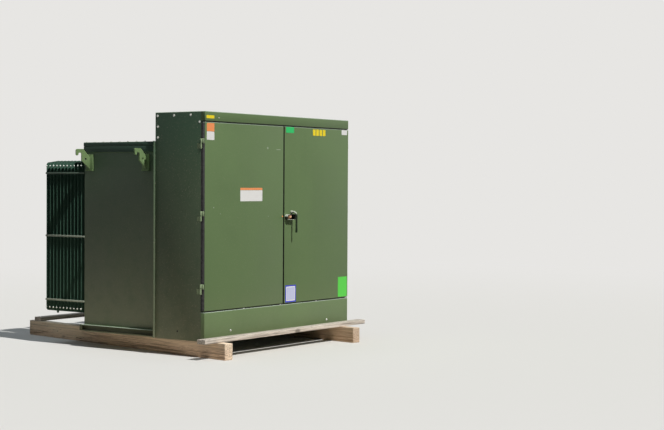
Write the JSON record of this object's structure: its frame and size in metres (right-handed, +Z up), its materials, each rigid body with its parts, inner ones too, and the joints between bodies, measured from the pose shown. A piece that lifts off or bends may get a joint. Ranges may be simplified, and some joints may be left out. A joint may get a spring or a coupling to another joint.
{
  "type": "pad-mounted power transformer",
  "caption": "Green steel pad-mounted power transformer with a two-door terminal cabinet, tank, lifting hooks and rear radiators, standing on a timber skid.",
  "frame": {"origin": "middle of the footprint at ground level, under the timber skid", "axes": "+Z up, the cabinet's doors face -Y, +X to the right as seen from the doors"},
  "size_m": [2.516, 2.9654, 2.108],
  "materials": {
    "green_paint": "green enamel, satin",
    "timber": "rough sawn, brown, aged",
    "weathered_board": "rough sawn, silver grey",
    "bare_metal": "dull zinc",
    "porcelain": "grey insulator glaze"
  },
  "bodies": {
    "housing": {"runner_left": "timber", "runner_right": "timber", "front_board": "weathered_board", "rear_board": "weathered_board", "tank_shell": "green_paint", "tank_rim": "green_paint", "tank_cover": "green_paint", "base_rail_left": "green_paint", "base_rail_right": "green_paint", "base_rail_rear": "green_paint", "hook_front_left": "green_paint", "hook_rear_left": "green_paint", "hook_front_right": "green_paint", "hook_rear_right": "green_paint", "radiator_1": "green_paint", "radiator_2": "green_paint", "radiator_3": "green_paint", "radiator_4": "green_paint", "radiator_5": "green_paint", "radiator_6": "green_paint", "cabinet_side_left": "green_paint", "cabinet_side_right": "green_paint", "cabinet_roof": "green_paint", "cabinet_rear_panel": "green_paint", "front_sill": "green_paint", "cabinet_barrier": "green_paint", "hinge_left_low": "green_paint", "hinge_left_mid": "green_paint", "hinge_left_high": "green_paint", "hinge_right_low": "green_paint", "hinge_right_mid": "green_paint", "hinge_right_high": "green_paint", "hv_bushing_1": "porcelain", "hv_bushing_2": "porcelain", "hv_bushing_3": "porcelain", "lv_bushing_1": "bare_metal", "lv_bushing_2": "bare_metal", "lv_bushing_3": "bare_metal", "lv_bushing_4": "bare_metal"},
    "left_door": {"left_door": "green_paint"},
    "right_door": {"right_door": "green_paint", "latch_plate": "green_paint"},
    "door_handle": {"door_handle": "bare_metal"}
  },
  "joints": [
    {"name": "left_door_hinge", "type": "hinge", "parent": "housing", "child": "left_door", "pos_m": [-1.11303, -1.12663, 1.2], "axis": [0, 0, -1], "range_deg": [0, 120]},
    {"name": "right_door_hinge", "type": "hinge", "parent": "housing", "child": "right_door", "pos_m": [1.04097, -1.12663, 1.2], "axis": [0, 0, 1], "range_deg": [0, 120]},
    {"name": "handle_pivot", "type": "hinge", "parent": "right_door", "child": "door_handle", "pos_m": [0.12165, -1.16193, 1.234], "axis": [0, -1, 0], "range_deg": [0, 90]}
  ]
}
